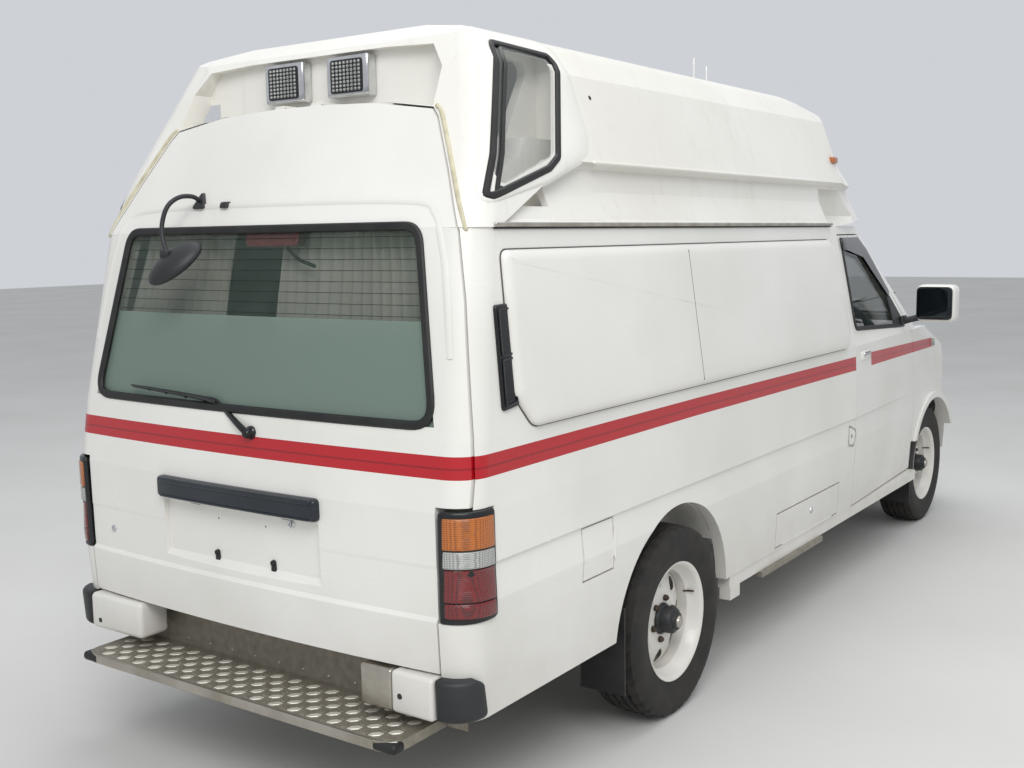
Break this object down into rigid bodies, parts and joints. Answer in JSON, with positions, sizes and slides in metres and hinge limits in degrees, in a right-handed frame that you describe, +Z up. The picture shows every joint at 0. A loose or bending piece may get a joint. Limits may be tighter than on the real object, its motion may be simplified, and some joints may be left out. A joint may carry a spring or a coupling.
{
  "type": "high-roof van ambulance",
  "caption": "High-roof van ambulance with a short bonnet, a tall top-hinged tailgate, a rear step, hinged cab doors, steered front wheels and turning steel wheels.",
  "frame": {"origin": "on the ground under the middle of the vehicle's length and width", "axes": "+X forward towards the bonnet, +Y to the vehicle's left, +Z up"},
  "size_m": [5.408, 2.16, 2.392],
  "materials": {
    "white_paint": "gloss",
    "white_frp": "gel coat",
    "black_plastic": "grained",
    "black_rubber": "matt",
    "tyre": "matt",
    "green_glass": "clear",
    "clear_plastic": "clear",
    "lamp_lens": "clear lens",
    "lamp_clear": "clear lens",
    "chequer_plate": "chequered",
    "chassis_black": "satin",
    "iron": "rough",
    "exhaust_steel": "heat dulled",
    "seat_fabric": "woven",
    "grey_plastic": "grained"
  },
  "bodies": {
    "body": {"high_roof": "white_frp", "beacon_covers": "clear_plastic", "roof_work_lamps": "lamp_clear", "side_wall_right": "white_paint", "side_wall_left": "white_paint", "sliding_door": "white_paint", "window_covers": "white_frp", "side_vents": "black_plastic", "tail_lamps": "lamp_lens", "cab_frame": "white_paint", "body_glass": "green_glass", "front_fenders": "white_paint", "nose_panel": "white_paint", "headlamps": "lamp_clear", "grille": "black_plastic", "front_bumper": "white_paint", "floor_pan": "white_paint", "chassis_frame": "chassis_black", "sills": "white_paint", "mud_flaps": "black_rubber", "rear_axle": "iron", "suspension_arms": "iron", "engine_block": "iron", "fuel_tank": "chassis_black", "exhaust": "exhaust_steel", "rear_bumper": "black_plastic", "bumper_boxes": "white_paint", "rear_step": "chequer_plate", "side_steps": "chequer_plate", "cab_seats": "seat_fabric", "dashboard": "grey_plastic"},
    "tailgate": {"tailgate": "white_paint", "tailgate_glass": "green_glass", "tailgate_handle": "black_plastic", "rear_wiper": "black_plastic", "rear_view_mirror": "black_plastic"},
    "fuel_lid": {"fuel_lid": "white_paint"},
    "storage_hatch": {"storage_hatch": "white_paint"},
    "bonnet": {"bonnet": "white_paint"},
    "cab_door_left": {"cab_door_left": "white_paint", "cab_door_glass_left": "green_glass", "door_mirror_left": "white_paint"},
    "cab_door_right": {"cab_door_right": "white_paint", "cab_door_glass_right": "green_glass", "door_mirror_right": "white_paint"},
    "knuckle_left": {"knuckle_left": "iron"},
    "knuckle_right": {"knuckle_right": "iron"},
    "wheel_rear_left": {"tyre_rear_left": "tyre", "wheel_rear_left": "white_paint"},
    "wheel_rear_right": {"tyre_rear_right": "tyre", "wheel_rear_right": "white_paint"},
    "wheel_front_left": {"tyre_front_left": "tyre", "wheel_front_left": "white_paint"},
    "wheel_front_right": {"tyre_front_right": "tyre", "wheel_front_right": "white_paint"}
  },
  "joints": [
    {"name": "steer_left", "type": "hinge", "parent": "body", "child": "knuckle_left", "pos_m": [2.064, 0.6, 0.345], "axis": [0, 0, 1], "range_deg": [-30, 30]},
    {"name": "wheel_front_left_spin", "type": "hinge", "parent": "knuckle_left", "child": "wheel_front_left", "pos_m": [2.064, 0.682, 0.345], "axis": [0, 1, 0], "continuous": true},
    {"name": "wheel_rear_left_spin", "type": "hinge", "parent": "body", "child": "wheel_rear_left", "pos_m": [-1.336, 0.769, 0.345], "axis": [0, 1, 0], "continuous": true},
    {"name": "steer_right", "type": "hinge", "parent": "body", "child": "knuckle_right", "pos_m": [2.064, -0.6, 0.345], "axis": [0, 0, 1], "range_deg": [-30, 30]},
    {"name": "wheel_front_right_spin", "type": "hinge", "parent": "knuckle_right", "child": "wheel_front_right", "pos_m": [2.064, -0.682, 0.345], "axis": [0, 1, 0], "continuous": true},
    {"name": "wheel_rear_right_spin", "type": "hinge", "parent": "body", "child": "wheel_rear_right", "pos_m": [-1.336, -0.769, 0.345], "axis": [0, 1, 0], "continuous": true},
    {"name": "cab_door_left_hinge", "type": "hinge", "parent": "body", "child": "cab_door_left", "pos_m": [1.623, 0.845, 0.8], "axis": [0, 0, -1], "range_deg": [0, 65]},
    {"name": "cab_door_right_hinge", "type": "hinge", "parent": "body", "child": "cab_door_right", "pos_m": [1.623, -0.845, 0.8], "axis": [0, 0, 1], "range_deg": [0, 65]},
    {"name": "tailgate_hinge", "type": "hinge", "parent": "body", "child": "tailgate", "pos_m": [-2.286, 0, 2.142], "axis": [0, 1, 0], "range_deg": [0, 85]},
    {"name": "bonnet_hinge", "type": "hinge", "parent": "body", "child": "bonnet", "pos_m": [2.04, 0, 1.135], "axis": [0, -1, 0], "range_deg": [0, 60]},
    {"name": "storage_hatch_hinge", "type": "hinge", "parent": "body", "child": "storage_hatch", "pos_m": [-0.0445, -0.8502, 0.402], "axis": [1, 0, 0], "range_deg": [0, 95]},
    {"name": "fuel_lid_hinge", "type": "hinge", "parent": "body", "child": "fuel_lid", "pos_m": [-1.802, -0.871, 0.742], "axis": [0, 0, 1], "range_deg": [0, 100]}
  ],
  "couplings": [
    {"joint": "steer_right", "follows": "steer_left", "ratio": 1}
  ]
}
